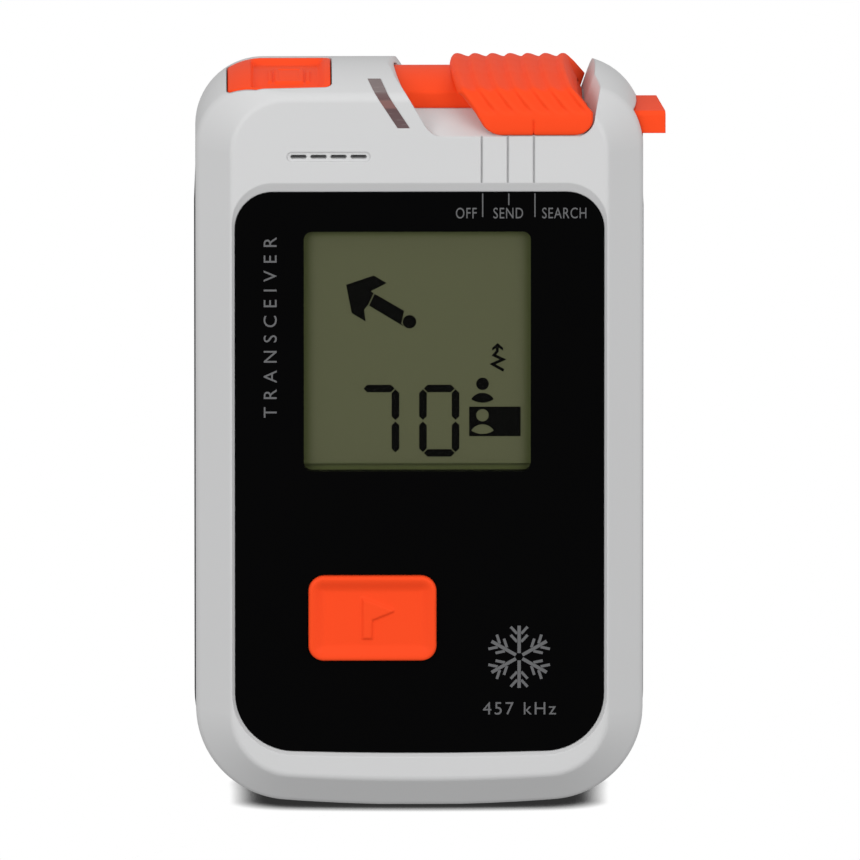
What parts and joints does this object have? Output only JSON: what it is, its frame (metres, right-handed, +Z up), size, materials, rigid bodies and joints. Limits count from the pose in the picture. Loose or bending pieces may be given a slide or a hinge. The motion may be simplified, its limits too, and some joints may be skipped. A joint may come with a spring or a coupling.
{
  "type": "avalanche transceiver",
  "caption": "Pocket avalanche transceiver with a display, flag button, sliding mode grip on top, battery latch and hinged battery door.",
  "frame": {"origin": "centre of the flat foot face the body stands on, at its lower end", "axes": "+Z up the body to the slider, +X to the right of someone facing the display, +Y to the back"},
  "size_m": [0.0695, 0.0244, 0.1105],
  "materials": {
    "housing_grey": "fine moulded satin texture",
    "housing_dark": "fine moulded grain",
    "orange_plastic": "smooth satin, bright orange",
    "panel_black": "black print behind a smooth clear face",
    "print_grey": "grey print on the panel",
    "window_clear": "clear, glossy",
    "display_face": "reflective display, olive grey",
    "display_ink": "dark display segments",
    "strip_clear": "smoked translucent light guide",
    "rubber_black": "soft matt",
    "steel": "bright, lightly brushed",
    "steel_dark": "blackened",
    "copper_wire": "enamelled copper winding",
    "ferrite": "sintered, dark grey",
    "board_green": "solder mask",
    "chip_black": "moulded epoxy",
    "cell_jacket": "printed jacket",
    "backlight_white": "diffusing white"
  },
  "bodies": {
    "housing": {"front_housing": "housing_grey", "rear_housing": "housing_dark", "front_panel": "panel_black", "display_window": "window_clear", "display_cell": "display_face", "display_backlight": "backlight_white", "display_connector": "rubber_black", "button_seal": "rubber_black", "detent_spring": "steel", "switch_dome": "steel", "door_catch": "steel", "latch_spring": "steel", "hinge_pin": "steel", "lanyard_bar": "steel", "housing_screws": "steel_dark", "contact_springs": "steel", "contact_plates": "steel", "housing_seal": "rubber_black", "light_strip": "strip_clear", "signal_lamp": "backlight_white", "loudspeaker": "chip_black", "speaker_membrane": "rubber_black", "main_board": "board_green", "position_board": "board_green", "board_chips": "chip_black", "hall_sensors": "chip_black", "long_ferrite": "ferrite", "cross_ferrite": "ferrite", "short_ferrite": "ferrite", "long_coil": "copper_wire", "cross_coil": "copper_wire", "short_coil": "copper_wire", "ferrite_holders": "rubber_black", "battery_cell_left": "cell_jacket", "battery_cell_middle": "cell_jacket", "battery_cell_right": "cell_jacket"},
    "slider": {"slide_carriage": "orange_plastic", "slide_grip": "orange_plastic", "slide_magnet": "steel"},
    "button": {"flag_button": "orange_plastic"},
    "latch": {"battery_latch": "orange_plastic"},
    "door": {"battery_door": "housing_dark", "door_seal": "rubber_black"}
  },
  "joints": [
    {"name": "mode_slide", "type": "slide", "parent": "housing", "child": "slider", "axis": [1, 0, 0], "range_m": [-0.00768, 0], "deforming": ["detent_spring"]},
    {"name": "flag_press", "type": "slide", "parent": "housing", "child": "button", "axis": [0, 1, 0], "range_m": [0, 0.0006], "stiffness_N_per_m": 1500, "springref_m": -0.0005, "deforming": ["switch_dome"]},
    {"name": "latch_press", "type": "slide", "parent": "housing", "child": "latch", "axis": [0, 0, -1], "range_m": [0, 0.0012], "stiffness_N_per_m": 1500, "springref_m": -0.0008, "deforming": ["latch_spring"]},
    {"name": "door_hinge", "type": "hinge", "parent": "housing", "child": "door", "pos_m": [-0.0107, 0.0105, 0.0426], "axis": [-1, 0, 0], "range_deg": [0, 95], "deforming": ["door_catch"]}
  ]
}
